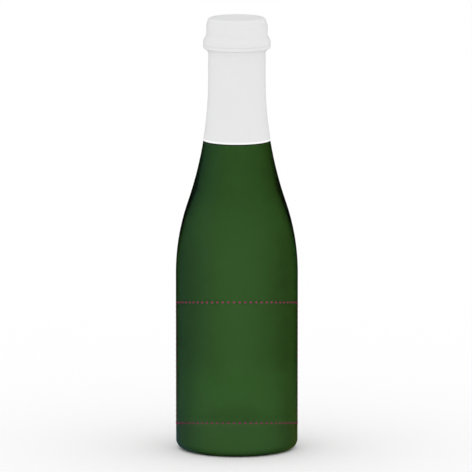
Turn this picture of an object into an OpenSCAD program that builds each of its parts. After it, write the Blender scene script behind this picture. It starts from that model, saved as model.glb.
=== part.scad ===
// Quarter-size champagne bottle: punted glass body, cork stopper held by a wire hood,
// and a foil capsule over the hood and the upper neck. Millimetres, Z up, with the
// origin at the middle of the ring on which the bottle stands.

/* [Body] */
// Outside diameter of the glass body
body_d = 57; // [54:0.5:64]
// Height at which the straight wall ends and the shoulder begins
body_h = 82.9; // [70:0.1:100]
// Radius of the rounded heel round the base
heel_r = 4.2; // [3:0.1:6]
// Thickness of the glass wall
wall_t = 4.4; // [3:0.1:5]

/* [Base] */
// Width of the flat ring on which the bottle stands
bearing_w = 3.8; // [2:0.1:6]
// Height of the hollow punt under the base
punt_h = 18; // [14:0.5:20]
// Radius of the punt's rounded top
punt_tip_r = 9; // [7:0.5:11]
// Rounding of the punt's lower edge
punt_edge_r = 1.5; // [0.5:0.1:2]
// Thickness of the glass over the punt
punt_t = 3.6; // [3:0.1:5]
// Radius of the trough between the punt and the wall, inside
trough_r = 3; // [2:0.1:4]

/* [Shoulder and neck] */
// Height from the end of the straight wall to the straight neck
shoulder_h = 91.9; // [80:0.1:110]
// Radius of the shoulder where it swells outward
shoulder_r = 103.6; // [80:0.1:130]
// Outside diameter of the straight neck
neck_d = 26.4; // [25:0.1:30]
// Height of the straight neck with its mouth
neck_h = 19.3; // [17:0.1:26]
// Diameter of the bore that holds the stopper
bore_d = 17.5; // [16.5:0.1:18.5]
// Depth to which the bore runs straight
bore_l = 22; // [21:0.5:36]

/* [Mouth] */
// How far the glass ring round the mouth stands out from the neck
ring_out = 0.7; // [0.3:0.1:1.5]
// Height of the ring's straight band
ring_band_h = 1.1; // [0.8:0.1:2]
// Radius between the ring and the lip
lip_r = 2.1; // [1.2:0.1:2.4]
// Radius of the ring's lower edge
ring_edge_r = 0.8; // [0.4:0.1:1]
// How deep the groove under the ring is cut into the neck
groove_in = 0.9; // [0.7:0.1:1.5]
// Height of the groove
groove_h = 2.5; // [2.2:0.1:3]
// Height over which the groove widens to the neck
groove_flare_h = 1.6; // [1:0.1:2]
// Rounding of the bore's edge at the lip
bore_edge_r = 0.6; // [0.3:0.1:1]

/* [Wine] */
// Depth of the wine's surface below the mouth
ullage_h = 47; // [38:0.5:60]

/* [Stopper] */
// Diameter of the stopper's head
head_d = 24.2; // [22:0.1:24.6]
// Height of the stopper's head over the lip
head_h = 8.3; // [7.5:0.05:10]
// Rounding of the head's top edge
head_top_r = 3; // [2:0.1:4]
// Rounding of the head's lower edge
head_low_r = 2; // [1:0.1:3]
// Length of the stopper inside the bore
shank_l = 20; // [17:0.5:24]
// Thickness of each natural cork disc at the stopper's foot
cork_disc_t = 4.5; // [3:0.1:6]

/* [Wire hood] */
// Diameter of the hood's wire
wire_d = 0.5; // [0.4:0.02:0.52]
// How far the cap plate reaches past the stopper's head, all round
plate_overhang = 0.85; // [0.8:0.01:1]
// Thickness of the cap plate's sheet
plate_t = 0.25; // [0.2:0.01:0.3]
// Height of the cap plate's turned rim
plate_rim_h = 0.8; // [0.6:0.05:1]
// Rounding of the cap plate's edge
plate_edge_r = 0.6; // [0.4:0.05:0.75]
// Number of half turns in each twisted leg
leg_half_turns = 7; // [5:1:9]
// Inside half width of the eye at each leg's foot
eye_half_w = 0.55; // [0.45:0.01:0.6]
// Number of half turns in the key's stem
key_half_turns = 3; // [2:1:5]
// Length of the key's twisted stem
key_stem_l = 3.6; // [2.5:0.1:4]
// Half width of the key's loop
key_half_w = 2.8; // [2:0.1:3.2]
// Length over which the key's loop opens out
key_spread_l = 2.2; // [1.5:0.1:2.5]
// Length over which a leg's eye opens out
eye_spread_l = 1; // [0.8:0.1:1.4]

/* [Capsule] */
// Thickness of the foil
foil_t = 0.12; // [0.08:0.01:0.14]
// Length of the capsule below the mouth
capsule_l = 48.4; // [30:0.1:60]
// Drop below the mouth at which the capsule starts to draw in over the hood
swell_drop = 1.9; // [1.7:0.1:2.2]
// Rise over the mouth at which the capsule has drawn in to the stopper's head
swell_rise = 1.5; // [1.2:0.1:1.9]
// Step in the crown's side under its tapered upper part
crown_step_w = 0.32; // [0.1:0.02:0.4]
// Height of the crown's step
crown_step_h = 0.5; // [0.3:0.1:0.8]
// Taper of the crown's upper part
crown_taper_w = 0.3; // [0.1:0.02:0.4]
// Height of the crown's tapered upper part
crown_taper_h = 1.2; // [0.8:0.1:1.5]
// Rounding of the crown's top edge
crown_edge_r = 1.6; // [1.2:0.1:1.8]
// Width of the foil turned in over the top disc
crown_lip_w = 1.1; // [0.8:0.1:1.5]
// Height of the tear strip
strip_h = 1.6; // [1.4:0.05:1.8]
// Drop of the tear strip's lower edge below the groove's top
strip_drop = 1; // [0.9:0.05:1.2]
// Height of the raised middle of the top disc
disc_emboss_h = 0.1; // [0.05:0.01:0.15]
// Length of the tear tab down the back of the neck
tab_l = 9; // [6:0.5:14]
// Width of the tear tab
tab_w = 6; // [4:0.5:8]
// Thickness of the folded foil of the tear tab
tab_t = 0.2; // [0.16:0.02:0.3]
// Radius of the curl at the tear tab's tip
tab_curl_r = 3; // [2:0.5:5]

/* [Label] */
// Width of the front label round the body
label_w = 87; // [50:1:120]
// Gap between the heel and the label's lower edge
label_low_gap = 7.1; // [6:0.1:20]
// Gap between the label's upper edge and the shoulder
label_top_gap = 8.8; // [6:0.1:20]
// Thickness of the label film
label_t = 0.08; // [0.05:0.01:0.15]

/* [Clearances] */
// Gap between the glass and a skin that lies on it
skin_gap = 0.05; // [0.03:0.01:0.1]
// Gap between the stopper's head and the lip under it
seat_gap = 0.05; // [0.03:0.01:0.1]
// Running clearance between the stopper and the bore
bore_gap = 0.05; // [0.03:0.01:0.08]
// Gap between pieces stacked on one another
stack_gap = 0.15; // [0.1:0.01:0.16]
// Gap between the hood's wires and the glass ring
hood_ring_gap = 0.14; // [0.1:0.01:0.16]
// Gap between the two wires of a twisted pair, and between wires that meet
wire_gap = 0.03; // [0.02:0.01:0.05]
// Gap between the hood's wires and the stopper's head
hood_head_gap = 0.4; // [0.3:0.01:0.5]
// Gap between the belt and the capsule round it
capsule_gap = 0.12; // [0.1:0.01:0.2]
// Gap between the hood's legs and the crown round them
crown_gap = 0.67; // [0.6:0.01:0.8]
// Gap between two edges of the capsule's foil
foil_gap = 0.05; // [0.03:0.01:0.1]

/* [Hidden] */
$fn = 96;

// Steps along a short arc, and along the shoulder's and neck's long arcs
arc_n = 8;
sweep_n = 20;
// Sides of a wire, and steps along a half turn of a pair and along the spread of its loop
wire_n = 6;
half_turn_n = 5;
spread_n = 3;

// Body and base
body_r = body_d / 2;
inner_r = body_r - wall_t;
bearing_r = body_r - heel_r;
punt_r = bearing_r - bearing_w;
punt_tip_z = punt_h - punt_tip_r;
// Lean of the punt's conical flank: the angle of its normal above the horizontal
punt_lean = acos(punt_tip_r / norm([punt_r, punt_tip_z])) - atan2(punt_tip_z, punt_r);
punt_edge_x = punt_r + punt_edge_r * (1 - sin(punt_lean)) / cos(punt_lean);
trough_x = inner_r - trough_r;
trough_z = ((punt_r - trough_x) * cos(punt_lean) + punt_t + trough_r) / sin(punt_lean);

// Neck and mouth
neck_r = neck_d / 2;
bore_r = bore_d / 2;
neck_z = body_h + shoulder_h;
mouth_z = neck_z + neck_h;
shoulder_angle = 2 * atan((body_r - neck_r) / shoulder_h);
neck_curve_r = shoulder_h / sin(shoulder_angle) - shoulder_r;
inner_shoulder_r = shoulder_r - wall_t;
ring_r = neck_r + ring_out;
groove_r = neck_r - groove_in;
lip_z = mouth_z - lip_r;
ring_edge_z = lip_z - ring_band_h;
groove_top_z = ring_edge_z - ring_edge_r;
groove_low_z = groove_top_z - groove_h;
groove_end_z = groove_low_z - groove_flare_h;

// Stopper
head_r = head_d / 2;
shank_r = bore_r - bore_gap;
head_low_z = mouth_z + seat_gap;
head_top_z = head_low_z + head_h;
disc_outer_z = mouth_z - shank_l + 2 * cork_disc_t;
disc_inner_z = mouth_z - shank_l + cork_disc_t;
shank_end_z = mouth_z - shank_l;
foot_chamfer = 0.5;

// Hood
wire_r = wire_d / 2;
pair_offset = wire_r + wire_gap / 2;
pair_r = pair_offset + wire_r;
plate_r = head_r + plate_overhang;
plate_low_z = head_top_z + stack_gap;
plate_top_z = plate_low_z + plate_t;
plate_rim_z = plate_top_z - plate_rim_h;
wire_ring_r = plate_r - plate_t - wire_r - wire_gap;
wire_ring_z = plate_low_z - wire_r - 2 * wire_gap;
leg_top_z = wire_ring_z - wire_r - 4 * wire_gap;
head_track_r = head_r + hood_head_gap + pair_r;
ring_track_r = ring_r + hood_ring_gap + pair_r;
// Heights between which a leg swings out from the head to the glass ring
swing_rise = 2.6;
track_in_z = mouth_z + swing_rise;
track_out_z = lip_z;
// Height over which a leg swings out from the wire ring to the head
track_top_h = 2.2;
// Heights of the eyes and the key over the top of the groove
eye_rise = 0.05;
key_rise = 0.3;
eye_w = eye_half_w + wire_r;
eye_z = groove_top_z + eye_rise;
eye_top_z = eye_z + eye_spread_l;
leg_azimuths = [-45, 45, 135, 225];
// How far the belt swings in and out as it threads an eye
weave_gap = 0.18;
weave = wire_d + weave_gap;
// How loosely the belt lies in the groove, outward and downward
belt_slack = 0.08;
belt_drop = 0.2;
belt_groove_r = groove_r + skin_gap + wire_r + belt_slack;
belt_groove_z = groove_top_z - wire_r - belt_drop;
key_azimuth = -90;
key_low_z = groove_top_z + key_rise;

// Capsule
bulge_r = ring_track_r + weave + wire_r + capsule_gap + foil_t;
crown_r = head_track_r + pair_r + crown_gap + foil_t;
skirt_low_z = mouth_z - capsule_l;
disc_flange_z = plate_top_z + stack_gap + foil_t;
crown_top_z = disc_flange_z + foil_gap / 2 + foil_t;
crown_step_x = crown_r - crown_step_w;
crown_edge_x = crown_step_x - crown_taper_w - crown_edge_r;
crown_edge_z = crown_top_z - crown_edge_r;
crown_step_z = crown_edge_z - crown_taper_h;
swell_low_z = mouth_z - swell_drop;
swell_top_z = mouth_z + swell_rise;
strip_low_z = groove_top_z - strip_drop;
strip_top_z = strip_low_z + strip_h;
disc_flange_r = crown_edge_x - foil_gap;
disc_raised_r = crown_edge_x - crown_lip_w - foil_gap;
disc_slope_w = 0.2;
// The skirt's upper edge flares out along a power curve and stops short of the tear strip
flare_short = 0.28;
flare_top_z = strip_low_z - foil_gap;
flare_w = bulge_r - foil_t - neck_r - skin_gap - flare_short;
flare_power = 2.6;
tab_hinge_r = bulge_r + stack_gap + tab_t / 2;
tab_hinge_z = strip_low_z + strip_h / 2;
tab_curl_angle = 50;

// Label
label_low_z = heel_r + label_low_gap;
label_top_z = body_h - label_top_gap;
label_in_r = body_r + skin_gap;

// Points of an arc, as radius and height
function arc(x, z, r, from, to, n = arc_n) =
    [for (i = [0:n]) let (a = from + (to - from) * i / n) [x + r * cos(a), z + r * sin(a)]];

// Smooth step from 0 to 1
function ease(t) = let (u = max(0, min(1, t))) u * u * (3 - 2 * u);

// Two tangent arcs that lead from one upright wall in to a narrower one above it
function swan(low_r, low_z, top_r, top_z, bend_r) =
    let (
        a = 2 * atan((low_r - top_r) / (top_z - low_z)),
        upper_r = (top_z - low_z) / sin(a) - bend_r
    )
    concat(
        arc(low_r - bend_r, low_z, bend_r, 0, a, sweep_n),
        [for (i = [1:sweep_n]) let (b = a * (1 - i / sweep_n))
            [top_r + upper_r * (1 - cos(b)), top_z - upper_r * sin(b)]]
    );

// Outside radius of the glass at a height on the neck or the shoulder
function glass_r(z) =
    z >= neck_z ? neck_r
    : z >= body_h + shoulder_r * sin(shoulder_angle)
        ? neck_r + neck_curve_r - sqrt(pow(neck_curve_r, 2) - pow(neck_z - z, 2))
    : body_r - shoulder_r + sqrt(pow(shoulder_r, 2) - pow(z - body_h, 2));

// Inside of the glass from the base up to the straight bore, drawn in by a gap
function hollow(gap) = concat(
    arc(0, punt_tip_z, punt_tip_r + punt_t + gap, 90, punt_lean),
    arc(trough_x, trough_z, trough_r - gap, 180 + punt_lean, 360, 2 * arc_n),
    [for (p = swan(inner_r, body_h, bore_r, mouth_z - bore_l,
            inner_shoulder_r * (shoulder_h + neck_h - bore_l) / shoulder_h)) [p[0] - gap, p[1]]]
);

// Radius at which the hood's pairs of wires run at a height
function track_r(z) =
    let (
        out = ease((track_in_z - z) / (track_in_z - track_out_z)),
        in = ease((z - leg_top_z + track_top_h) / track_top_h)
    )
    head_track_r + (ring_track_r - head_track_r) * out + (wire_ring_r - head_track_r) * in;

// One wire bent double: up or down one strand of a twisted pair, round a loop, and back
// along the other strand. X is across the pair and Y is away from the neck.
function hairpin(from_z, to_z, half_turns, half_w, spread_l, loop_n) =
    let (
        way = sign(to_z - from_z),
        n = half_turns * half_turn_n,
        strand = [for (i = [0:n])
            let (a = 180 * half_turns * (1 - i / n), z = from_z + (to_z - from_z) * i / n)
            [pair_offset * cos(a), track_r(z) + pair_offset * sin(a), z]],
        spread = [for (i = [1:spread_n])
            let (t = i / spread_n, z = to_z + way * spread_l * t)
            [pair_offset + (half_w - pair_offset) * ease(t), track_r(z), z]],
        bend = [for (i = [1:loop_n - 1])
            let (a = 180 * i / loop_n, z = to_z + way * (spread_l + half_w * sin(a)))
            [half_w * cos(a), track_r(z), z]],
        spread_back = [for (i = [spread_n - 1:-1:0]) [-spread[i][0], spread[i][1], spread[i][2]]],
        strand_back = [for (i = [n:-1:0])
            let (p = strand[i])
            [-p[0], 2 * track_r(p[2]) - p[1], p[2]]]
    )
    concat(strand, spread, bend, spread_back, strand_back);

// The belt's route past one leg's eye: distance round from the eye, radius and height.
// It comes out of the groove, passes behind the eye's near side and through it, and
// goes back into the groove from the eye's far side.
belt_past_eye = [
    [-6, belt_groove_r, belt_groove_z],
    [-3.6, belt_groove_r + 0.25, belt_groove_z],
    [-1.9, ring_track_r - weave - 0.25, belt_groove_z + 0.12],
    [-0.9, ring_track_r - weave, eye_z - 0.14],
    [0, ring_track_r, eye_z - 0.06],
    [0.9, ring_track_r + weave, eye_z - 0.06],
    [1.9, ring_track_r + weave - 0.25, eye_z - 0.14],
    [3.8, belt_groove_r + 1.1, belt_groove_z + 0.05],
    [5.8, belt_groove_r + 0.15, belt_groove_z]
];

// One end of the belt, from the turn up into the key's stem back to the groove
function belt_end(side) = [
    [side * pair_offset, ring_track_r, key_low_z - 0.2],
    [side * (pair_offset + 0.12), ring_track_r - 0.02, belt_groove_z + 0.22],
    [side * 1.2, ring_track_r - 0.35, belt_groove_z],
    [side * 2.6, belt_groove_r + 0.5, belt_groove_z]
];

// A point from its distance round from an azimuth, its radius and its height
function round_point(azimuth, p) =
    let (a = azimuth + p[0] / p[1] * 180 / PI) [p[1] * cos(a), p[1] * sin(a), p[2]];

belt_route = concat(
    [for (p = belt_end(1)) round_point(key_azimuth, p)],
    [for (i = [0:3]) each concat(
        [for (p = belt_past_eye) round_point(leg_azimuths[i], p)],
        i < 3 ? [round_point(leg_azimuths[i] + 45, [0, belt_groove_r, belt_groove_z])] : []
    )],
    [for (i = [3:-1:0]) round_point(key_azimuth + 360, belt_end(-1)[i])]
);

// A smooth curve through points, with n steps between each two
function smooth(points, n) =
    let (last = len(points) - 1)
    concat(
        [for (i = [0:last - 1], k = [0:n - 1])
            let (
                t = k / n,
                a = points[max(i - 1, 0)], b = points[i],
                c = points[i + 1], d = points[min(i + 2, last)]
            )
            0.5 * (2 * b + (c - a) * t + (2 * a - 5 * b + 4 * c - d) * t * t
                + (3 * b - a - 3 * c + d) * t * t * t)],
        [points[last]]
    );

function unit(v) = v / norm(v);

// Straightens a side vector so that it stands square to a direction
function squared(side, way) = unit(side - (side * way) * way);

// A wire swept along a list of points
module wire(points) {
    last = len(points) - 1;
    ways = [for (i = [0:last]) unit(points[min(i + 1, last)] - points[max(i - 1, 0)])];
    lean = abs(ways[0][0]) < 0.8 ? [1, 0, 0] : [0, 1, 0];
    sides = [for (i = 0, side = squared(lean, ways[0]); i <= last;
        i = i + 1, side = i <= last ? squared(side, ways[i]) : side) side];
    polyhedron(
        points = [for (i = [0:last], k = [0:wire_n - 1])
            let (a = 360 * k / wire_n)
            points[i] + wire_r * (cos(a) * sides[i] + sin(a) * cross(ways[i], sides[i]))],
        faces = concat(
            [[for (k = [wire_n - 1:-1:0]) k]],
            [for (i = [0:last - 1], k = [0:wire_n - 1], half = [0, 1])
                let (next = (k + 1) % wire_n, a = i * wire_n, b = a + wire_n)
                half == 0 ? [a + k, a + next, b + next] : [a + k, b + next, b + k]],
            [[for (k = [0:wire_n - 1]) last * wire_n + k]]
        )
    );
}

// A solid of revolution about the bottle's axis
module lathe(profile) {
    rotate_extrude() polygon(profile);
}

// A solid of revolution that spans only an angle, centred on an azimuth
module lathe_part(profile, azimuth, angle) {
    rotate([0, 0, azimuth - angle / 2]) rotate_extrude(angle = angle) polygon(profile);
}

// The glass: flat bearing ring, rounded heel, upright wall, shoulder, neck with its ring
// for the hood, bore, and the punt pressed up under the base
module bottle_glass() {
    color("darkolivegreen") lathe(concat(
        arc(0, punt_tip_z, punt_tip_r, 90, punt_lean),
        arc(punt_edge_x, punt_edge_r, punt_edge_r, 180 + punt_lean, 270, 4),
        arc(bearing_r, heel_r, heel_r, -90, 0),
        swan(body_r, body_h, neck_r, neck_z, shoulder_r),
        [[neck_r, groove_end_z], [groove_r, groove_low_z], [groove_r, groove_top_z]],
        arc(ring_r - ring_edge_r, ring_edge_z, ring_edge_r, -90, 0),
        arc(ring_r - lip_r, lip_z, lip_r, 0, 90),
        arc(bore_r + bore_edge_r, mouth_z - bore_edge_r, bore_edge_r, 90, 180, 4),
        let (inside = hollow(0)) [for (i = [len(inside) - 1:-1:0]) inside[i]]
    ));
}

// The wine, up to its level in the neck
module wine() {
    color("palegoldenrod") intersection() {
        lathe(concat(hollow(skin_gap), [[bore_r - skin_gap, mouth_z], [0, mouth_z]]));
        cylinder(r = body_r, h = mouth_z - ullage_h);
    }
}

// The front label, a thin clear film on the body
module body_label() {
    color("honeydew", 0.4) lathe_part(
        [
            [label_in_r, label_low_z], [label_in_r + label_t, label_low_z],
            [label_in_r + label_t, label_top_z], [label_in_r, label_top_z]
        ],
        -90, label_w / (PI * body_d) * 360
    );
}

// The stopper's agglomerated body: mushroom head over the lip and shank in the bore
module stopper_body() {
    color("burlywood") lathe(concat(
        [[0, disc_outer_z], [shank_r, disc_outer_z], [shank_r, head_low_z]],
        arc(head_r - head_low_r, head_low_z + head_low_r, head_low_r, -90, 0),
        arc(head_r - head_top_r, head_top_z - head_top_r, head_top_r, 0, 90),
        [[0, head_top_z]]
    ));
}

// The natural cork disc glued under the stopper's body
module stopper_disc_outer() {
    color("peru") translate([0, 0, disc_inner_z]) cylinder(r = shank_r, h = cork_disc_t);
}

// The natural cork disc glued under the first, at the stopper's chamfered foot
module stopper_disc_inner() {
    color("tan") lathe([
        [0, shank_end_z], [shank_r - foot_chamfer, shank_end_z],
        [shank_r, shank_end_z + foot_chamfer], [shank_r, disc_inner_z], [0, disc_inner_z]
    ]);
}

// The pressed cap plate on the stopper, with its rim turned down round the wire ring
module cap_plate() {
    edge_x = plate_r - plate_edge_r;
    edge_z = plate_top_z - plate_edge_r;
    color("silver") lathe(concat(
        [[0, plate_low_z]],
        arc(edge_x, edge_z, plate_edge_r - plate_t, 90, 0),
        [[plate_r - plate_t, plate_rim_z], [plate_r, plate_rim_z]],
        arc(edge_x, edge_z, plate_edge_r, 0, 90),
        [[0, plate_top_z]]
    ));
}

// The wire ring under the plate's rim
module hood_ring() {
    color("gray") rotate_extrude() translate([wire_ring_r, wire_ring_z]) circle(r = wire_r, $fn = 24);
}

// One leg of the hood: a twisted pair that ends in the eye for the belt
module hood_leg(azimuth) {
    color("gray") rotate([0, 0, azimuth - 90])
        wire(hairpin(leg_top_z, eye_top_z, leg_half_turns, eye_w, eye_spread_l, 8));
}

module hood_leg_front_right() { hood_leg(leg_azimuths[0]); }

module hood_leg_back_right() { hood_leg(leg_azimuths[1]); }

module hood_leg_back_left() { hood_leg(leg_azimuths[2]); }

module hood_leg_front_left() { hood_leg(leg_azimuths[3]); }

// The belt of wire drawn in under the glass ring
module hood_belt() {
    color("dimgray") wire(smooth(belt_route, 3));
}

// The key: the belt's ends twisted together into a loop, folded up against the hood
module hood_key() {
    color("dimgray") rotate([0, 0, key_azimuth - 90])
        wire(hairpin(key_low_z, key_low_z + key_stem_l, key_half_turns, key_half_w, key_spread_l, 16));
}

// The foil's line where it lies on the neck and then flares out, moved outward by a gap
function skirt_line(gap) = concat(
    [for (i = [0:sweep_n]) let (z = skirt_low_z + (neck_z - skirt_low_z) * i / sweep_n)
        [glass_r(z) + skin_gap + gap, z]],
    [for (i = [0:arc_n])
        let (
            t = i / arc_n,
            slope = flare_w * flare_power * pow(t, flare_power - 1) / (flare_top_z - groove_end_z),
            long = sqrt(1 + slope * slope)
        )
        [
            neck_r + skin_gap + flare_w * pow(t, flare_power) + gap / long,
            groove_end_z + (flare_top_z - groove_end_z) * t - gap * slope / long
        ]]
);

// The skirt, the part of the capsule that stays on the neck
module capsule_skirt() {
    inside = skirt_line(0);
    outside = skirt_line(foil_t);
    color("gainsboro") lathe(concat(inside, [for (i = [len(outside) - 1:-1:0]) outside[i]]));
}

// The strip that the tab tears away from between skirt and sleeve
module tear_strip() {
    color("silver") lathe([
        [bulge_r - foil_t, strip_low_z], [bulge_r, strip_low_z],
        [bulge_r, strip_top_z], [bulge_r - foil_t, strip_top_z]
    ]);
}

// Radius of the sleeve's outside between the bulge and the crown
function swell_r(z) =
    bulge_r + (crown_r - bulge_r) * ease((z - swell_low_z) / (swell_top_z - swell_low_z));

// The sleeve over the glass ring, the hood and the stopper's head
module capsule_sleeve() {
    low_z = strip_top_z + foil_gap;
    wall = concat(
        [[bulge_r, low_z]],
        [for (i = [0:arc_n])
            let (z = swell_low_z + (swell_top_z - swell_low_z) * i / arc_n)
            [swell_r(z), z]],
        [[crown_r, crown_step_z - crown_step_h], [crown_step_x, crown_step_z]]
    );
    color("gainsboro") lathe(concat(
        wall,
        arc(crown_edge_x, crown_edge_z, crown_edge_r, 0, 90),
        [[crown_edge_x - crown_lip_w, crown_top_z], [crown_edge_x - crown_lip_w, crown_top_z - foil_t]],
        arc(crown_edge_x, crown_edge_z, crown_edge_r - foil_t, 90, 0),
        [for (i = [len(wall) - 1:-1:0]) [wall[i][0] - foil_t, wall[i][1]]]
    ));
}

// The embossed disc held under the sleeve's turned edge
module capsule_disc() {
    raised_z = disc_flange_z + disc_emboss_h;
    color("whitesmoke") lathe([
        [0, raised_z], [disc_raised_r - disc_slope_w, raised_z],
        [disc_raised_r, disc_flange_z], [disc_flange_r, disc_flange_z],
        [disc_flange_r, disc_flange_z - foil_t], [disc_raised_r - foil_t / 2, disc_flange_z - foil_t],
        [disc_raised_r - disc_slope_w - foil_t / 2, raised_z - foil_t], [0, raised_z - foil_t]
    ]);
}

// The folded foil tab at the back, hinged at the tear strip. It hangs clear of the
// skirt's flare and curls outward at its tip.
module tear_tab() {
    low_z = tab_hinge_z - tab_l + tab_curl_r;
    centre_r = tab_hinge_r + tab_curl_r;
    color("silver") lathe_part(
        concat(
            [[tab_hinge_r + tab_t / 2, tab_hinge_z], [tab_hinge_r - tab_t / 2, tab_hinge_z]],
            arc(centre_r, low_z, tab_curl_r + tab_t / 2, 180, 180 + tab_curl_angle),
            arc(centre_r, low_z, tab_curl_r - tab_t / 2, 180 + tab_curl_angle, 180)
        ),
        90, tab_w / neck_r * 180 / PI
    );
}

bottle_glass();
wine();
body_label();
stopper_body();
stopper_disc_outer();
stopper_disc_inner();
cap_plate();
hood_ring();
hood_leg_front_right();
hood_leg_back_right();
hood_leg_back_left();
hood_leg_front_left();
hood_belt();
hood_key();
capsule_skirt();
tear_strip();
capsule_sleeve();
capsule_disc();
tear_tab();
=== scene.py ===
import math

import bmesh
import bpy
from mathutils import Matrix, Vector


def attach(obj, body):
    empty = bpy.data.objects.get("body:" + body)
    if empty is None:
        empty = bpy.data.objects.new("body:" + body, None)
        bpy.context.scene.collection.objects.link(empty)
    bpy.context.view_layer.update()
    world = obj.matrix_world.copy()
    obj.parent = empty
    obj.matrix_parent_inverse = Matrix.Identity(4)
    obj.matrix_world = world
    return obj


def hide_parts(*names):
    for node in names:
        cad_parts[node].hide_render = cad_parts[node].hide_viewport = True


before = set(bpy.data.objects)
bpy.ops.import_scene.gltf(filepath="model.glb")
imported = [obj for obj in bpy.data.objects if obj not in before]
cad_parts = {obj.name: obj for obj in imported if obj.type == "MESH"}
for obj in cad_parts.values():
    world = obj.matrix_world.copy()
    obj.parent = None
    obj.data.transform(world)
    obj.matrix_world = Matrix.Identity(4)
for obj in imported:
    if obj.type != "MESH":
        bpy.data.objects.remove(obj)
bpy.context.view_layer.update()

# Glass bottle
# Dark green glass, blown in a two-part mould whose seams run up both sides. The punt is pressed
# up under the base, and fine nicks run round the ring on which it stands. Sizes are millimetres.
MM = 0.001
BODY_R = 28.5
BODY_TOP = 82.9
HEEL_R = 4.2
WALL = 4.4
NECK_R = 13.2
NECK_LOW = 174.8
MOUTH = 194.1
BORE_R = 8.75
BORE_LOW = MOUTH - 22
SHOULDER_R = 103.6
SHOULDER_H = NECK_LOW - BODY_TOP
BEARING_R = BODY_R - HEEL_R
PUNT_R = BEARING_R - 3.8
PUNT_TIP_R = 9.0
PUNT_TIP_Z = 9.0
PUNT_WALL = 3.6
PUNT_EDGE_R = 1.5
PUNT_LEAN = math.acos(PUNT_TIP_R / math.hypot(PUNT_R, PUNT_TIP_Z)) - math.atan2(PUNT_TIP_Z, PUNT_R)
TROUGH_R = 3.0
RING_R = 13.9
RING_UNDER_R = 0.8
RING_OVER_R = 2.1
LIP_R = 0.6
GROOVE_R = 12.3
GROOVE_TOP = 190.1
GROOVE_LOW = 187.6
GROOVE_END = 186.0
HEM = MOUTH - 48.4
SEAM_LOW = 12
SEAM_OUT = 0.05
SEAM_HALF = 0.5
NICK_TOP = 1.2
NICK_DEPTH = 0.07
NICK_STEP = 1.5
DENSE_TOP = 11.4
DENSE_FRONT = -14
DENSE_BACK = -2
DENSE_ROUGH = 0.3
FADE_ROUGH = 0.24
FADE_LOW = 20
FADE_TOP = 42
FADE_SHARE = 0.7
FADE_START = 0.2
FLANK_LOW = 90
FLANK_TOP = 112
FLANK_MIDDLE = 0.3
FLANK_REACH = 0.28
SIDE_SHADE = 0.42
SIDE_REACH = 0.4
SHADE_UNDER = 0.5
SHADE_OVER = 1
BOW_FOOT = 0.188
BOW_DROP = 0.28
CLEAR_GREEN = (0.49, 0.618, 0.468)
FLANK_SHADE_GREEN = (0.30, 0.367, 0.29)
DIM_GREEN = (0.11, 0.215, 0.09)
DEEP_GREEN = (0.0166, 0.067, 0.0095)
HAZE_GREEN = (0.18, 0.463, 0.114)
HEM_SHADE = (0.003, 0.010, 0.002)
BODY_TINT = (0.26, 0.467, 0.167)
TINT_DENSITY = 296


def arc(x, z, radius, start, end, steps=12):
    """Points of an arc, as radius and height."""
    points = []
    for i in range(steps + 1):
        angle = math.radians(start + (end - start) * i / steps)
        points.append((x + radius * math.cos(angle), z + radius * math.sin(angle)))
    return points


def swan(low_r, low_z, top_r, top_z, bend_r, steps=30):
    """Two tangent arcs that lead from one upright wall in to a narrower one above it."""
    angle = 2 * math.atan((low_r - top_r) / (top_z - low_z))
    upper_r = (top_z - low_z) / math.sin(angle) - bend_r
    points = arc(low_r - bend_r, low_z, bend_r, 0, math.degrees(angle), steps)
    for i in range(1, steps + 1):
        turn = angle * (1 - i / steps)
        points.append((top_r + upper_r * (1 - math.cos(turn)), top_z - upper_r * math.sin(turn)))
    return points


def hollow(gap):
    """The inside of the glass from the base up to the straight bore, drawn in by a gap."""
    lean = math.degrees(PUNT_LEAN)
    trough_x = BODY_R - WALL - TROUGH_R
    trough_z = (PUNT_R - trough_x) * math.cos(PUNT_LEAN) + PUNT_WALL + TROUGH_R
    trough_z /= math.sin(PUNT_LEAN)
    bend_r = (SHOULDER_R - WALL) * (BORE_LOW - BODY_TOP) / SHOULDER_H
    wall = swan(BODY_R - WALL, BODY_TOP, BORE_R, BORE_LOW, bend_r)
    return (
        arc(0, PUNT_TIP_Z, PUNT_TIP_R + PUNT_WALL + gap, 90, lean)
        + arc(trough_x, trough_z, TROUGH_R - gap, 180 + lean, 360, 20)
        + [(radius - gap, z) for radius, z in wall]
    )


def finished(name, mesh, body, nodes, crease=35):
    """Closes off a mesh as a smooth piece that rides on a body and stands for CAD nodes."""
    shape = bmesh.new()
    shape.from_mesh(mesh)
    bmesh.ops.recalc_face_normals(shape, faces=shape.faces)
    shape.to_mesh(mesh)
    shape.free()
    mesh.shade_smooth()
    mesh.set_sharp_from_angle(angle=math.radians(crease))
    piece = bpy.data.objects.new(name, mesh)
    bpy.context.scene.collection.objects.link(piece)
    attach(piece, body)
    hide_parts(*nodes)
    return piece


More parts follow.
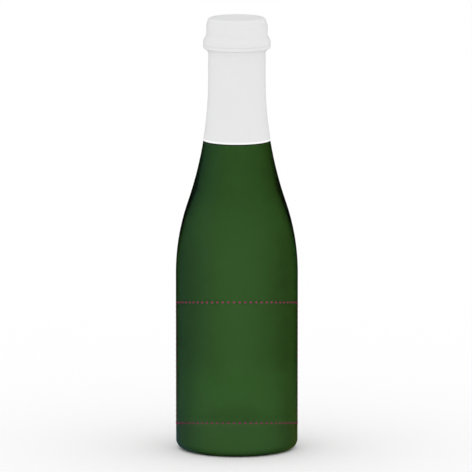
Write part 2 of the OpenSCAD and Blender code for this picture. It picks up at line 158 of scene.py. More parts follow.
def turned(name, profile, steps=192, start=0.0, sweep=360.0, relief=None):
    """A mesh turned about the bottle's axis. Relief moves a point out, by angle, radius, height."""
    whole = sweep >= 360
    columns = steps if whole else steps + 1
    points = []
    rings = []
    for radius, height in profile:
        if radius < 1e-6:
            rings.append([len(points)] * columns)
            points.append((0, 0, height * MM))
            continue
        rings.append(list(range(len(points), len(points) + columns)))
        for k in range(columns):
            degrees = start + sweep * k / steps
            out = radius + (relief(degrees, radius, height) if relief else 0)
            angle = math.radians(degrees)
            points.append((out * math.cos(angle) * MM, out * math.sin(angle) * MM, height * MM))
    pairs = list(zip(rings, rings[1:]))
    if profile[0][0] > 1e-6 or profile[-1][0] > 1e-6:
        pairs.append((rings[-1], rings[0]))
    faces = []
    for low, high in pairs:
        for k in range(steps):
            after = (k + 1) % columns
            corners = [low[k], low[after], high[after], high[k]]
            corners = list(dict.fromkeys(corners))
            if len(corners) > 2:
                faces.append(corners)
    if not whole:
        faces.append([ring[0] for ring in rings])
        faces.append([ring[-1] for ring in rings][::-1])
    mesh = bpy.data.meshes.new(name)
    mesh.from_pydata(points, [], faces)
    return mesh


def outer_r(height):
    """Outside radius of the glass at a height on the body, the shoulder or the neck."""
    bend = 2 * math.atan((BODY_R - NECK_R) / SHOULDER_H)
    neck_bend_r = SHOULDER_H / math.sin(bend) - SHOULDER_R
    if height >= NECK_LOW:
        return NECK_R
    if height >= BODY_TOP + SHOULDER_R * math.sin(bend):
        return NECK_R + neck_bend_r - math.sqrt(neck_bend_r**2 - (NECK_LOW - height) ** 2)
    if height <= BODY_TOP:
        return BODY_R
    return BODY_R - SHOULDER_R + math.sqrt(SHOULDER_R**2 - (height - BODY_TOP) ** 2)


def mould_marks(degrees, radius, height):
    """The nicks round the foot, and the fine ridges that the mould's halves leave up both sides."""
    if 0 < height < NICK_TOP and radius > BEARING_R:
        return -NICK_DEPTH * (round(degrees / NICK_STEP) % 2)
    if height < SEAM_LOW or height > GROOVE_END or abs(radius - outer_r(height)) > 0.01:
        return 0
    return SEAM_OUT if abs((degrees + 90) % 180 - 90) < SEAM_HALF else 0


lean = math.degrees(PUNT_LEAN)
punt_edge_x = PUNT_R + PUNT_EDGE_R * (1 - math.sin(PUNT_LEAN)) / math.cos(PUNT_LEAN)
glass_profile = (
    arc(0, PUNT_TIP_Z, PUNT_TIP_R, 90, lean)
    + arc(punt_edge_x, PUNT_EDGE_R, PUNT_EDGE_R, 180 + lean, 270, 6)
    + arc(BEARING_R, HEEL_R, HEEL_R, -90, 0)
    + swan(BODY_R, BODY_TOP, NECK_R, NECK_LOW, SHOULDER_R)
    + [(NECK_R, GROOVE_END), (GROOVE_R, GROOVE_LOW), (GROOVE_R, GROOVE_TOP)]
    + arc(RING_R - RING_UNDER_R, GROOVE_TOP + RING_UNDER_R, RING_UNDER_R, -90, 0, 8)
    + arc(RING_R - RING_OVER_R, MOUTH - RING_OVER_R, RING_OVER_R, 0, 90)
    + arc(BORE_R + LIP_R, MOUTH - LIP_R, LIP_R, 90, 180, 8)
    + hollow(0)[::-1]
)
bottle = finished(
    "glass_bottle",
    turned("glass_bottle", glass_profile, steps=240, relief=mould_marks),
    "bottle",
    ["bottle_glass"],
)


class Signal:
    """One output in a material's node tree, with plain arithmetic on it."""

    def __init__(self, tree, socket):
        self.tree = tree
        self.socket = socket

    def node(self, kind, inputs, output=0, **settings):
        """Makes any shader node: its settings first, then its inputs. Gives one of its outputs."""
        node = self.tree.nodes.new("ShaderNode" + kind)
        for name, value in settings.items():
            setattr(node, name, value)
        for key, value in inputs.items():
            if isinstance(value, Signal):
                self.tree.links.new(value.socket, node.inputs[key])
            else:
                node.inputs[key].default_value = value
        return Signal(self.tree, node.outputs[output])

    def maths(self, operation, *others):
        """Makes a Math node on this and other values."""
        return self.node("Math", dict(enumerate((self,) + others)), operation=operation)

    def __add__(self, other):
        return self.maths("ADD", other)

    def __sub__(self, other):
        return self.maths("SUBTRACT", other)

    def __mul__(self, other):
        return self.maths("MULTIPLY", other)

    def __truediv__(self, other):
        return self.maths("DIVIDE", other)

    def __radd__(self, other):
        return self + other

    def __rmul__(self, other):
        return self * other

    def __rsub__(self, other):
        return self.node("Math", {0: other, 1: self}, operation="SUBTRACT")

    def __rtruediv__(self, other):
        return self.node("Math", {0: other, 1: self}, operation="DIVIDE")

    def rise(self, low, high):
        """Smooth step from 0 at low to 1 at high."""
        inputs = {"Value": self, "From Min": low, "From Max": high}
        return self.node("MapRange", inputs, interpolation_type="SMOOTHSTEP")

    def blend(self, first, second):
        """Colour that goes from first to second as this goes from 0 to 1."""
        return self.node("Mix", {"Factor": self, 6: first, 7: second}, output=2, data_type="RGBA")

    def mix(self, first, second):
        """Shading that goes from first to second as this goes from 0 to 1."""
        return self.node("MixShader", {0: self, 1: first, 2: second})

    def feed(self, shader, name):
        """Links this to an input of a shader node."""
        self.tree.links.new(self.socket, shader.inputs[name])


def material(name, slot_name, pieces, colour, **constants):
    """A new Principled material on pieces, with constants on its sockets. Gives its shader."""
    paint = bpy.data.materials.new(name)
    paint.use_nodes = True
    shader = paint.node_tree.nodes["Principled BSDF"]
    shader.inputs["Base Color"].default_value = (*colour, 1)
    for socket, value in constants.items():
        shader.inputs[socket.replace("_", " ")].default_value = value
    for piece in pieces:
        piece.data.materials.clear()
        piece.data.materials.append(paint)
    return shader


def place(shader):
    """The point on the piece, in metres from the bottle's foot."""
    tree = shader.id_data
    return Signal(tree, tree.nodes.new("ShaderNodeTexCoord").outputs["Object"])


def parts(spot):
    """The three parts of a point, as signals."""
    return [spot.node("SeparateXYZ", {0: spot}, output=axis) for axis in "XYZ"]


def bowed(y, z):
    """Height on the body, along lines that look level from a little above the front."""
    return z + y * (BOW_FOOT - z * BOW_DROP)


def shading(shader):
    """What a shader node gives."""
    return Signal(shader.id_data, shader.outputs[0])


def bump(shader, height, strength, distance):
    """Presses a pattern of height into the surface."""
    inputs = {"Height": height, "Strength": strength, "Distance": distance}
    height.node("Bump", inputs).feed(shader, "Normal")


glass_paint = material(
    "green bottle glass",
    "green_glass",
    [bottle],
    CLEAR_GREEN,
    Transmission_Weight=1,
    Roughness=0.02,
    IOR=1.5,
)
glass_tree = glass_paint.id_data
glass_end = glass_tree.nodes["Material Output"]
tint = glass_tree.nodes.new("ShaderNodeVolumeAbsorption")
tint.inputs["Color"].default_value = (*BODY_TINT, 1)
tint.inputs["Density"].default_value = TINT_DENSITY
shading(tint).feed(glass_end, "Volume")

# Low on the outside the clear glass gives way to dense glass, which hides the punt. Where it does,
# the clear one dims and the dense one starts hazy, so that the green stays even. Painted shade
# darkens the green toward the sides of the body, and a painted shadow lies as a dark line on the
# glass in the gap under the foil's hem.
thick = glass_tree.nodes.new("ShaderNodeBsdfPrincipled")
spot = place(glass_paint)
x, y, z = parts(spot)
radius = (x * x + y * y).maths("SQRT")
level = bowed(y, z)
front = 1 - spot.node("NewGeometry", {}, output="Backfacing")
outside = radius.maths("GREATER_THAN", BEARING_R * MM) * front
densest = level.maths("LESS_THAN", DENSE_TOP * MM) * (1 - y.rise(DENSE_FRONT * MM, DENSE_BACK * MM))
fade = 1 - level.rise(FADE_LOW * MM, FADE_TOP * MM)
foot = densest.maths("MAXIMUM", fade * FADE_SHARE) * outside
# Painted shadow: a thin dark line on the glass just under the foil's hem, where the foil shades it.
shaded = z.maths("GREATER_THAN", (HEM - SHADE_UNDER) * MM)
shaded = shaded * z.maths("LESS_THAN", (HEM + SHADE_OVER) * MM)
shaded = shaded * radius.maths("GREATER_THAN", NECK_R * MM)
cast = foot.maths("MAXIMUM", shaded * front)
aside = spot.node("LayerWeight", {"Blend": 0.35}, output="Facing")
# Painted shade: the clear glass's colour darkens toward the sides of the body, where they face away.
arch = (aside - FLANK_MIDDLE) / FLANK_REACH
flank_shade = (1 - arch * arch) * (1 - z.rise(FLANK_LOW * MM, FLANK_TOP * MM)) * outside
green = flank_shade.blend((*CLEAR_GREEN, 1), (*FLANK_SHADE_GREEN, 1))
(cast / FADE_START).blend(green, (*DIM_GREEN, 1)).feed(glass_paint, "Base Color")
haze = FADE_START / 2 / cast.maths("MAXIMUM", FADE_START)
deep = haze.blend((*DEEP_GREEN, 1), (*HAZE_GREEN, 1))
# Painted shade: the dense glass darkens toward its sides.
deep = (1 - aside.rise(0, SIDE_REACH) * SIDE_SHADE).blend((0, 0, 0, 1), deep)
shaded.blend(deep, (*HEM_SHADE, 1)).feed(thick, "Base Color")
(densest * (DENSE_ROUGH - FADE_ROUGH) + FADE_ROUGH).feed(thick, "Roughness")
cast.mix(shading(glass_paint), shading(thick)).feed(glass_end, "Surface")

# Wine
# Pale gold sparkling wine that stands 47 mm below the mouth. Its edge climbs the glass a little
# all round, and the rest of the neck above it is gas.
HEADSPACE = 47
WINE_LEVEL = MOUTH - HEADSPACE
wet = [point for point in hollow(-0.02) if point[1] < WINE_LEVEL]
edge_r = wet[-1][0]
wine_profile = wet + [
    (edge_r, WINE_LEVEL),
    (edge_r - 0.5, WINE_LEVEL - 0.35),
    (edge_r - 1.6, WINE_LEVEL - 0.6),
    (0, WINE_LEVEL - 0.65),
]
wine_mesh = turned("sparkling_wine", wine_profile, steps=240)
wine = finished("sparkling_wine", wine_mesh, "bottle", ["wine"])
material(
    "sparkling wine",
    "wine",
    [wine],
    (1.0, 0.98, 0.9),
    Transmission_Weight=1,
    Roughness=0,
    IOR=1.34,
)

# Front label
# A clear film stuck on the glass. Only a dotted magenta border is printed on it, as in the photo,
# and its middle is left empty. The border is bowed, so that from a little above it looks straight.
LABEL_LOW = 11.3
LABEL_TOP = 74.1
LABEL_HALF = 87.4
FILM_IN = BODY_R + 0.05
FILM_OUT = BODY_R + 0.13
PRINT_R = BODY_R + 0.1
BORDER_IN = 1.4
BORDER_LOW = DENSE_TOP
BORDER_TOP = 68.8
MAGENTA_INK = (0.34, 0.010, 0.13)
PITCH = 2.6
DOT_R = 0.42
SIDE_DOT = 3.5
label_profile = [
    (FILM_IN, LABEL_LOW),
    (FILM_OUT, LABEL_LOW),
    (FILM_OUT, LABEL_TOP),
    (FILM_IN, LABEL_TOP),
]
label = finished(
    "label_film",
    turned("label_film", label_profile, steps=120, start=-90 - LABEL_HALF, sweep=2 * LABEL_HALF),
    "bottle",
    ["body_label"],
)
label_paint = material(
    "clear label film",
    "label_film",
    [label],
    MAGENTA_INK,
    Roughness=0.4,
    Specular_IOR_Level=0,
)
x, y, z = parts(place(label_paint))
angle = x.maths("ARCTAN2", 0 - y)
along = angle * (PRINT_R * MM)
rise = bowed(y, z)
half_w = (math.radians(LABEL_HALF) * PRINT_R - BORDER_IN) * MM
middle = (BORDER_LOW + BORDER_TOP) / 2 * MM
half_h = (BORDER_TOP - BORDER_LOW) / 2 * MM


def dots(place_along, off, length, stretch):
    """Dots along a line: 1 on a dot and 0 beside it. Stretch widens them across the line."""
    step = length / round(length / (PITCH * MM))
    shift = ((place_along / step).maths("FRACT") - 0.5) * step
    across = off / stretch
    return (shift * shift + across * across).maths("LESS_THAN", (DOT_R * MM) ** 2)


side_dots = dots(z - middle + half_h, along.maths("ABSOLUTE") - half_w, 2 * half_h, SIDE_DOT)
edge_dots = dots(along + half_w, (rise - middle).maths("ABSOLUTE") - half_h, 2 * half_w, 1)
within = (rise - middle).maths("ABSOLUTE").maths("LESS_THAN", half_h + DOT_R * MM)
printed = (side_dots * within).maths("MAXIMUM", edge_dots)
printed.feed(label_paint, "Alpha")

# Stopper
# The upper part is cork granules pressed together, and two discs of natural cork are glued under
# it, where the wine touches. The head swells to a mushroom over the mouth.
HEAD_R = 12.1
HEAD_LOW = MOUTH + 0.05
HEAD_TOP = HEAD_LOW + 8.3
SHANK_R = BORE_R - 0.05
HEAD_UNDER_R = 2
HEAD_OVER_R = 3
FOOT = MOUTH - 20
DISC_T = 4.5
DISC_EDGE = 0.12
FOOT_EDGE = 0.5
body_profile = (
    [(0, FOOT + 2 * DISC_T), (SHANK_R, FOOT + 2 * DISC_T), (SHANK_R, HEAD_LOW)]
    + arc(HEAD_R - HEAD_UNDER_R, HEAD_LOW + HEAD_UNDER_R, HEAD_UNDER_R, -90, 0)
    + arc(HEAD_R - HEAD_OVER_R, HEAD_TOP - HEAD_OVER_R, HEAD_OVER_R, 0, 90)
    + [(0, HEAD_TOP)]
)
cork_body = finished("cork_body", turned("cork_body", body_profile), "stopper", ["stopper_body"])
upper_profile = [
    (0, FOOT + DISC_T),
    (SHANK_R - DISC_EDGE, FOOT + DISC_T),
    (SHANK_R, FOOT + DISC_T + DISC_EDGE),
    (SHANK_R, FOOT + 2 * DISC_T - DISC_EDGE),
    (SHANK_R - DISC_EDGE, FOOT + 2 * DISC_T),
    (0, FOOT + 2 * DISC_T),
]
cork_upper = finished(
    "cork_disc_upper", turned("cork_disc_upper", upper_profile), "stopper", ["stopper_disc_outer"]
)
lower_profile = [
    (0, FOOT),
    (SHANK_R - FOOT_EDGE, FOOT),
    (SHANK_R, FOOT + FOOT_EDGE),
    (SHANK_R, FOOT + DISC_T - DISC_EDGE),
    (SHANK_R - DISC_EDGE, FOOT + DISC_T),
    (0, FOOT + DISC_T),
]
cork_lower = finished(
    "cork_disc_lower", turned("cork_disc_lower", lower_profile), "stopper", ["stopper_disc_inner"]
)
granules = material(
    "pressed cork granules",
    "agglomerated_cork",
    [cork_body],
    (0.5, 0.32, 0.17),
    Roughness=0.85,
)
spot = place(granules)
cells = {"Vector": spot, "Scale": 520.0, "Randomness": 1.0}
grain = spot.node("TexVoronoi", cells, output="Color")
rim = spot.node("TexVoronoi", cells, feature="DISTANCE_TO_EDGE")
fine = spot.node("TexNoise", {"Vector": spot, "Scale": 2600.0, "Detail": 3.0})
shade = grain.node("SeparateColor", {0: grain})
light = shade.blend((0.36, 0.20, 0.09, 1), (0.62, 0.42, 0.24, 1))
seam = rim.rise(0.0, 0.09)
pale = seam.blend((0.24, 0.13, 0.06, 1), light)
(fine * 0.35).blend(pale, (0.30, 0.17, 0.08, 1)).feed(granules, "Base Color")
bump(granules, seam + fine * 0.4, 0.5, 0.0002)
natural = material(
    "natural cork",
    "natural_cork",
    [cork_upper, cork_lower],
    (0.55, 0.36, 0.2),
    Roughness=0.8,
)
spot = place(natural)
stretched = spot.node("Mapping", {"Vector": spot, "Scale": (900.0, 160.0, 900.0)})
growth = stretched.node("TexNoise", {"Vector": stretched, "Scale": 1.0, "Detail": 4.0})
pore_place = spot.node("Mapping", {"Vector": spot, "Scale": (300.0, 1100.0, 520.0)})
pores = pore_place.node("TexVoronoi", {"Vector": pore_place, "Scale": 1.0})
hole = 1 - pores.rise(0.12, 0.24)
band = growth.rise(0.35, 0.7).blend((0.60, 0.40, 0.23, 1), (0.44, 0.27, 0.14, 1))
(hole * 0.8).blend(band, (0.16, 0.08, 0.04, 1)).feed(natural, "Base Color")
bump(natural, growth - hole, 0.5, 0.0002)

# Cap plate
# Lacquered tinplate disc pressed with plain rings, which stops the wires from cutting into the
# cork. Its rim is turned down round the wire ring.
PLATE_R = 12.95
PLATE_T = 0.25
PLATE_EDGE_R = 0.6
PLATE_FLAT_R = PLATE_R - PLATE_EDGE_R
PLATE_LOW = HEAD_TOP + 0.15
PLATE_TOP = PLATE_LOW + PLATE_T
PLATE_RIM = PLATE_TOP - 0.8
PLATE_RING_DEPTH = 0.09
PLATE_RINGS = ((3.6, 0.5), (8.4, 0.55), (9.9, 0.4))


def plate_rings(radius):
    """Depth of the pressed rings in the cap plate."""
    depth = 0.0
    for centre, width in PLATE_RINGS:
        depth += PLATE_RING_DEPTH * math.exp(-(((radius - centre) / width) ** 2))
    return depth


plate_steps = [PLATE_FLAT_R - i * PLATE_FLAT_R / 60 for i in range(61)]
plate_profile = (
    [(radius, PLATE_LOW) for radius in reversed(plate_steps)]
    + arc(PLATE_FLAT_R, PLATE_TOP - PLATE_EDGE_R, PLATE_EDGE_R - PLATE_T, 90, 0, 8)[1:]
    + [(PLATE_R - PLATE_T, PLATE_RIM), (PLATE_R - PLATE_T / 2, PLATE_RIM - 0.02), (PLATE_R, PLATE_RIM)]
    + arc(PLATE_FLAT_R, PLATE_TOP - PLATE_EDGE_R, PLATE_EDGE_R, 0, 90, 8)
    + [(radius, PLATE_TOP - plate_rings(radius)) for radius in plate_steps[1:]]
)
plate = finished("cap_disc", turned("cap_disc", plate_profile), "hood", ["cap_plate"])
tin = material("lacquered tinplate", "tinplate", [plate], (0.72, 0.71, 0.68), Metallic=0.3)
spot = place(tin)
mottle = spot.node("TexNoise", {"Vector": spot, "Scale": 700.0, "Detail": 4.0})
(mottle * 0.18 + 0.22).feed(tin, "Roughness")

# Wire hood
# Galvanised steel wire half a millimetre thick: a ring under the cap plate, four twisted legs that
# end in eyes, the belt drawn through the eyes under the glass ring, and the key twisted from its
# ends.
WIRE_R = 0.25
PAIR = WIRE_R + 0.015
PAIR_R = PAIR + WIRE_R
HOOP_R = PLATE_R - PLATE_T - WIRE_R - 0.03
HOOP_Z = PLATE_LOW - WIRE_R - 0.06
LEG_TOP = HOOP_Z - WIRE_R - 0.12
HEAD_TRACK = HEAD_R + 0.4 + PAIR_R
RING_TRACK = RING_R + 0.14 + PAIR_R
SPREAD_TOP = MOUTH + 2.6
SPREAD_H = 4.7
TURN_IN_H = 2.2
WEAVE = 2 * WIRE_R + 0.18
BELT_R = GROOVE_R + 0.05 + WIRE_R + 0.08
BELT_Z = GROOVE_TOP - WIRE_R - 0.2
EYE_Z = GROOVE_TOP + 0.05
EYE_SPREAD = 1.0
EYE_W = 0.55 + WIRE_R
KEY_LOW = GROOVE_TOP + 0.3
KEY_STEM = 3.6
KEY_HALF = 2.8
KEY_SPREAD = 2.2
LEG_AZIMUTHS = (-45, 45, 135, 225)


def ease(share):
    """Smooth step from 0 to 1."""
    share = max(0.0, min(1.0, share))
    return share * share * (3 - 2 * share)


def track_r(z):
    """Radius at which the pairs of wires run at a height."""
    out = ease((SPREAD_TOP - z) / SPREAD_H)
    top = ease((z - LEG_TOP + TURN_IN_H) / TURN_IN_H)
    return HEAD_TRACK + (RING_TRACK - HEAD_TRACK) * out + (HOOP_R - HEAD_TRACK) * top


def hairpin(from_z, to_z, half_turns, half_w, spread, loop_steps):
    """A wire bent double: one strand of a twisted pair, round a loop, and back along the other."""
    way = 1 if to_z > from_z else -1
    steps = half_turns * 12
    there = []
    back = []
    for i in range(steps + 1):
        angle = math.pi * half_turns * (1 - i / steps)
        z = from_z + (to_z - from_z) * i / steps
        across = PAIR * math.cos(angle)
        deep = PAIR * math.sin(angle)
        there.append((across, track_r(z) + deep, z))
        back.append((-across, track_r(z) - deep, z))
    for i in range(1, 9):
        z = to_z + way * spread * i / 8
        across = PAIR + (half_w - PAIR) * ease(i / 8)
        there.append((across, track_r(z), z))
        back.append((-across, track_r(z), z))
    loop = []
    for i in range(1, loop_steps):
        angle = math.pi * i / loop_steps
        z = to_z + way * (spread + half_w * math.sin(angle))
        loop.append((half_w * math.cos(angle), track_r(z), z))
    return there + loop + back[::-1]


def round_neck(azimuth, points):
    """Turns points that face +Y round the bottle's axis so that they face an azimuth."""
    angle = math.radians(azimuth - 90)
    cos = math.cos(angle)
    sin = math.sin(angle)
    return [(x * cos - y * sin, x * sin + y * cos, z) for x, y, z in points]


def wire(name, points, radius=WIRE_R, sides=12, closed=False):
    """A round wire bent along points, with rounded ends unless it closes on itself."""
    path = [Vector(point) for point in points]
    count = len(path)
    ways = []
    for i in range(count):
        before = path[i - 1] if closed or i > 0 else path[0]
        after = path[(i + 1) % count] if closed or i < count - 1 else path[-1]
        ways.append((after - before).normalized())
    side = Vector((0, 0, 1)) if abs(ways[0].z) < 0.9 else Vector((1, 0, 0))
    rings = []
    for i in range(count):
        side = (side - ways[i] * side.dot(ways[i])).normalized()
        rings.append((path[i], side.copy(), ways[i].cross(side), 1.0))
    if not closed:
        first = rings[0]
        last = rings[-1]
        for depth, share in ((0.6, 0.8), (0.95, 0.32)):
            rings.insert(0, (first[0] - ways[0] * radius * depth, first[1], first[2], share))
            rings.append((last[0] + ways[-1] * radius * depth, last[1], last[2], share))
    points = []
    for centre, across, up, share in rings:
        for k in range(sides):
            angle = 2 * math.pi * k / sides
            point = centre + (across * math.cos(angle) + up * math.sin(angle)) * radius * share
            points.append(point * MM)
    faces = []
    total = len(rings)
    for i in range(total if closed else total - 1):
        low = i * sides
        high = (i + 1) % total * sides
        for k in range(sides):
            after = (k + 1) % sides
            faces.append([low + k, low + after, high + after, high + k])
    if not closed:
        faces.append(list(range(sides))[::-1])
        faces.append(list(range((total - 1) * sides, total * sides)))
    mesh = bpy.data.meshes.new(name)
    mesh.from_pydata(points, [], faces)
    return mesh


hoop = []
for i in range(120):
    angle = 2 * math.pi * i / 120
    hoop.append((HOOP_R * math.cos(angle), HOOP_R * math.sin(angle), HOOP_Z))
wires = [finished("wire_ring", wire("wire_ring", hoop, closed=True), "hood", ["hood_ring"], 60)]
leg_line = hairpin(LEG_TOP, EYE_Z + EYE_SPREAD, 7, EYE_W, EYE_SPREAD, 16)
legs = ("front_right", "back_right", "back_left", "front_left")
for azimuth, side_name in zip(LEG_AZIMUTHS, legs):
    mesh = wire("wire_leg_" + side_name, round_neck(azimuth, leg_line))
    wires.append(finished("wire_leg_" + side_name, mesh, "hood", ["hood_leg_" + side_name], 60))

past_eye = [
    (-6, BELT_R, BELT_Z),
    (-3.6, BELT_R + 0.25, BELT_Z),
    (-1.9, RING_TRACK - WEAVE - 0.25, BELT_Z + 0.12),
    (-0.9, RING_TRACK - WEAVE, EYE_Z - 0.14),
    (0, RING_TRACK, EYE_Z - 0.06),
    (0.9, RING_TRACK + WEAVE, EYE_Z - 0.06),
    (1.9, RING_TRACK + WEAVE - 0.25, EYE_Z - 0.14),
    (3.8, BELT_R + 1.1, BELT_Z + 0.05),
    (5.8, BELT_R + 0.15, BELT_Z),
]


def belt_end(side):
    """One end of the belt, from the turn up into the key's stem back to the groove."""
    return [
        (side * PAIR, RING_TRACK, KEY_LOW - 0.2),
        (side * (PAIR + 0.12), RING_TRACK - 0.02, BELT_Z + 0.22),
        (side * 1.2, RING_TRACK - 0.35, BELT_Z),
        (side * 2.6, BELT_R + 0.5, BELT_Z),
    ]


def round_point(azimuth, along, radius, z):
    """A point from its distance round from an azimuth, its radius and its height."""
    angle = math.radians(azimuth) + along / radius
    return Vector((radius * math.cos(angle), radius * math.sin(angle), z))


def smooth(points, steps):
    """A smooth curve through points, with some steps between each two."""
    line = []
    last = len(points) - 1
    for i in range(last):
        a = points[max(i - 1, 0)]
        b = points[i]
        c = points[i + 1]
        d = points[min(i + 2, last)]
        for k in range(steps):
            t = k / steps
            bend = (2 * a - 5 * b + 4 * c - d) * t**2 + (3 * b - a - 3 * c + d) * t**3
            line.append((2 * b + (c - a) * t + bend) * 0.5)
    return line + [points[last]]


belt_line = [round_point(-90, *point) for point in belt_end(1)]
for i, azimuth in enumerate(LEG_AZIMUTHS):
    belt_line += [round_point(azimuth, *point) for point in past_eye]
    if i < 3:
        belt_line.append(round_point(azimuth + 45, 0, BELT_R, BELT_Z))
belt_line += [round_point(270, *point) for point in belt_end(-1)[::-1]]
belt = finished("wire_belt", wire("wire_belt", smooth(belt_line, 8)), "hood", ["hood_belt"], 60)
key_line = round_neck(-90, hairpin(KEY_LOW, KEY_LOW + KEY_STEM, 3, KEY_HALF, KEY_SPREAD, 32))
key = finished("wire_key", wire("wire_key", key_line), "hood", ["hood_key"], 60)
wires += [belt, key]
steel = material("galvanised wire", "hood_wire", wires, (0.58, 0.58, 0.57), Metallic=0.65)
spot = place(steel)
spangle = spot.node("TexNoise", {"Vector": spot, "Scale": 1800.0, "Detail": 3.0})
(spangle * 0.3 + 0.22).feed(steel, "Roughness")

# Capsule
# Pale grey lacquered foil drawn down over the hood and the neck. The skirt stays on the neck, the
# strip tears away between skirt and sleeve, and a disc closes the sleeve's top.
PALE_GREY = (0.82, 0.82, 0.82)
FOIL = 0.12
SKIN = 0.05
SKIRT_LOW = HEM
BRIGHT_HEM = 0.9
BULGE_R = RING_TRACK + WEAVE + WIRE_R + 0.12 + FOIL
CROWN_R = HEAD_TRACK + PAIR_R + 0.67 + FOIL
STRIP_LOW = GROOVE_TOP - 1.0
STRIP_TOP = STRIP_LOW + 1.6
FLARE_TOP = STRIP_LOW - 0.05
FLARE_W = BULGE_R - FOIL - NECK_R - SKIN - 0.28
FLARE_POWER = 2.6
DISC_Z = PLATE_TOP + 0.15 + FOIL
CROWN_TOP = DISC_Z + 0.025 + FOIL
CROWN_STEP = 0.32
EDGE_R = 1.6
EDGE_X = CROWN_R - CROWN_STEP - 0.3 - EDGE_R
FLANGE_R = EDGE_X - 1.1
EDGE_Z = CROWN_TOP - EDGE_R
STEP_Z = EDGE_Z - 1.2
SWELL_LOW = MOUTH - 1.9
SWELL_TOP = MOUTH + 1.5


def skirt_line(gap):
    """The line of the foil on the neck and along its flare, moved outward by a gap."""
    line = []
    for i in range(41):
        z = SKIRT_LOW + (NECK_LOW - SKIRT_LOW) * i / 40
        line.append((outer_r(z) + SKIN + gap, z))
    for i in range(21):
        share = i / 20
        slope = FLARE_W * FLARE_POWER * share ** (FLARE_POWER - 1) / (FLARE_TOP - GROOVE_END)
        length = math.sqrt(1 + slope**2)
        radius = NECK_R + SKIN + FLARE_W * share**FLARE_POWER + gap / length
        line.append((radius, GROOVE_END + (FLARE_TOP - GROOVE_END) * share - gap * slope / length))
    return line


def swell_r(z):
    """Outside radius of the sleeve between the bulge and the crown."""
    return BULGE_R + (CROWN_R - BULGE_R) * ease((z - SWELL_LOW) / (SWELL_TOP - SWELL_LOW))


skirt_profile = skirt_line(0) + skirt_line(FOIL)[::-1]
skirt = finished("foil_skirt", turned("foil_skirt", skirt_profile), "bottle", ["capsule_skirt"])
strip_profile = [
    (BULGE_R - FOIL, STRIP_LOW),
    (BULGE_R - 0.03, STRIP_LOW),
    (BULGE_R, STRIP_LOW + 0.04),
    (BULGE_R, STRIP_TOP - 0.04),
    (BULGE_R - 0.03, STRIP_TOP),
    (BULGE_R - FOIL, STRIP_TOP),
]
strip = finished("foil_strip", turned("foil_strip", strip_profile), "capsule_cap", ["tear_strip"])
sleeve_wall = [(BULGE_R, STRIP_TOP + 0.05)]
for i in range(25):
    z = SWELL_LOW + (SWELL_TOP - SWELL_LOW) * i / 24
    sleeve_wall.append((swell_r(z), z))
for i in range(9):
    z = STEP_Z - 0.5 + 0.5 * i / 8
    sleeve_wall.append((CROWN_R - CROWN_STEP * ease(i / 8), z))
sleeve_profile = (
    sleeve_wall
    + arc(EDGE_X, EDGE_Z, EDGE_R, 0, 90, 16)
    + [(FLANGE_R, CROWN_TOP), (FLANGE_R, CROWN_TOP - FOIL)]
    + arc(EDGE_X, EDGE_Z, EDGE_R - FOIL, 90, 0, 16)
    + [(radius - FOIL, z) for radius, z in sleeve_wall[::-1]]
)
sleeve_mesh = turned("foil_sleeve", sleeve_profile)
sleeve = finished("foil_sleeve", sleeve_mesh, "capsule_cap", ["capsule_sleeve"])
RAISED_R = FLANGE_R - 0.05
RAISED_H = 0.1
EMBOSS_DEPTH = 0.06
EMBOSS_W = 0.25
EMBOSS_RADII = (8.6, 7.9)


def disc_height(radius):
    """Height of the disc's embossed rings over its flange."""
    height = RAISED_H * ease((RAISED_R - radius) / 0.3)
    for centre in EMBOSS_RADII:
        height -= EMBOSS_DEPTH * math.exp(-(((radius - centre) / EMBOSS_W) ** 2))
    return height


disc_steps = [(EDGE_X - 0.05) * i / 100 for i in range(101)]
disc_profile = [(radius, DISC_Z + disc_height(radius)) for radius in disc_steps]
disc_profile += [(radius, DISC_Z - FOIL + disc_height(radius)) for radius in disc_steps[::-1]]
disc = finished("foil_disc", turned("foil_disc", disc_profile), "capsule_cap", ["capsule_disc"])
TAB_HALF_T = 0.1
TAB_R = BULGE_R + 0.15 + TAB_HALF_T
TAB_W = 6
TAB_H = 9
CURL_R = 3
TAB_Z = STRIP_LOW + 0.8
CURL_Z = TAB_Z - TAB_H + CURL_R
tab_profile = (
    [(TAB_R + TAB_HALF_T, TAB_Z), (TAB_R - TAB_HALF_T, TAB_Z)]
    + arc(TAB_R + CURL_R, CURL_Z, CURL_R + TAB_HALF_T, 180, 230)
    + arc(TAB_R + CURL_R, CURL_Z, CURL_R - TAB_HALF_T, 230, 180)
)
tab_angle = math.degrees(TAB_W / NECK_R)
tab_mesh = turned("foil_tab", tab_profile, steps=24, start=90 - tab_angle / 2, sweep=tab_angle)
tab = finished("foil_tab", tab_mesh, "tear_tab", ["tear_tab"])
foil = material(
    "pale grey foil",
    "capsule_foil",
    [skirt, strip, sleeve, disc, tab],
    PALE_GREY,
    Roughness=0.5,
    Specular_IOR_Level=0.2,
)
spot = place(foil)
handling = spot.node("TexNoise", {"Vector": spot, "Scale": 240.0, "Detail": 3.0})
bump(foil, handling, 0.15, 0.0002)
hem = parts(spot)[2].maths("LESS_THAN", (SKIRT_LOW + BRIGHT_HEM) * MM)
hem.blend((*PALE_GREY, 1), (1.0, 1.0, 1.0, 1)).feed(foil, "Base Color")

# Floor
# A plain pale floor. It looks white to the camera and through the glass. In reflections it is
# dark, as if black cards stood round the bottle, with a dim card on each side.
FLOOR_HALF = 12
floor_mesh = bpy.data.meshes.new("floor")
corners = [(-FLOOR_HALF, -FLOOR_HALF, 0), (FLOOR_HALF, -FLOOR_HALF, 0)]
corners += [(FLOOR_HALF, FLOOR_HALF, 0), (-FLOOR_HALF, FLOOR_HALF, 0)]
floor_mesh.from_pydata(corners, [], [(0, 1, 2, 3)])
floor = bpy.data.objects.new("floor", floor_mesh)
bpy.context.scene.collection.objects.link(floor)
matt = material("pale floor", None, [floor], (1, 1, 1), Roughness=1, Specular_IOR_Level=0)


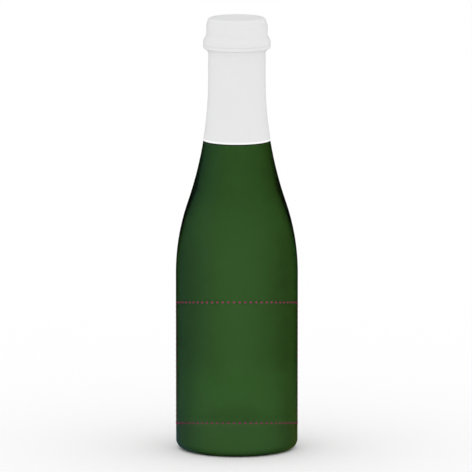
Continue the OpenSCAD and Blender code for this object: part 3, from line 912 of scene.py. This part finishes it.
def glow(tree, kind, colour):
    """A shader that gives off plain light."""
    node = tree.nodes.new("ShaderNode" + kind)
    node.inputs["Color"].default_value = (*colour, 1)
    return shading(node)


def ray(tree, name):
    """1 for rays of a kind and 0 for the others."""
    return Signal(tree, tree.nodes.new("ShaderNodeLightPath").outputs[name])


def cards(sideways, kind):
    """What reflections show low down, by how far to one side they look."""
    tree = sideways.tree
    left = glow(tree, kind, (0.04, 0.055, 0.12))
    right = glow(tree, kind, (0.065, 0.075, 0.012))
    black = glow(tree, kind, (0.004, 0.004, 0.004))
    side = sideways.maths("GREATER_THAN", 0).mix(left, right)
    return sideways.maths("ABSOLUTE").rise(0.5, 0.95).mix(black, side)


floor_tree = matt.id_data
seen_through = ray(floor_tree, "Is Transmission Ray")
mirrored = ray(floor_tree, "Is Glossy Ray") * (1 - seen_through)
lit = seen_through.mix(shading(matt), glow(floor_tree, "Emission", (1, 1, 1)))
x, y, z = parts(place(matt))
dark = cards(x / (x * x + y * y).maths("SQRT"), "Emission")
mirrored.mix(lit, dark).feed(floor_tree.nodes["Material Output"], "Surface")

# Light
# Even white light from all round, at which a colour shows as it is. In reflections it is dark low
# down and bright overhead.
world = bpy.data.worlds.new("studio")
bpy.context.scene.world = world
world.use_nodes = True
sky = world.node_tree
white = shading(sky.nodes["Background"])
sky.nodes["Background"].inputs["Color"].default_value = (1, 1, 1, 1)
mirrored = ray(sky, "Is Glossy Ray") * (1 - ray(sky, "Is Transmission Ray"))
way = Signal(sky, sky.nodes.new("ShaderNodeTexCoord").outputs["Generated"])
overhead = parts(way)[2].rise(0.45, 0.75)
dark = cards(parts(way)[0], "Background")
mirrored.mix(white, overhead.mix(dark, white)).feed(sky.nodes["World Output"], "Surface")

# Camera
# It stands well back with a long lens and looks down a little, as in the photo.
AIM = Vector((-0.0004, 0, 0.1003))
DISTANCE = 3.678
TILT = math.radians(9)
camera_data = bpy.data.cameras.new("camera")
camera = bpy.data.objects.new("camera", camera_data)
bpy.context.scene.collection.objects.link(camera)
bpy.context.scene.camera = camera
camera_data.sensor_width = 36
camera_data.lens = 600
camera_data.clip_end = 100
camera.location = AIM + Vector((0, -math.cos(TILT), math.sin(TILT))) * DISTANCE
camera.rotation_euler = (AIM - camera.location).to_track_quat("-Z", "Y").to_euler()
bpy.context.scene.view_settings.view_transform = "Standard"
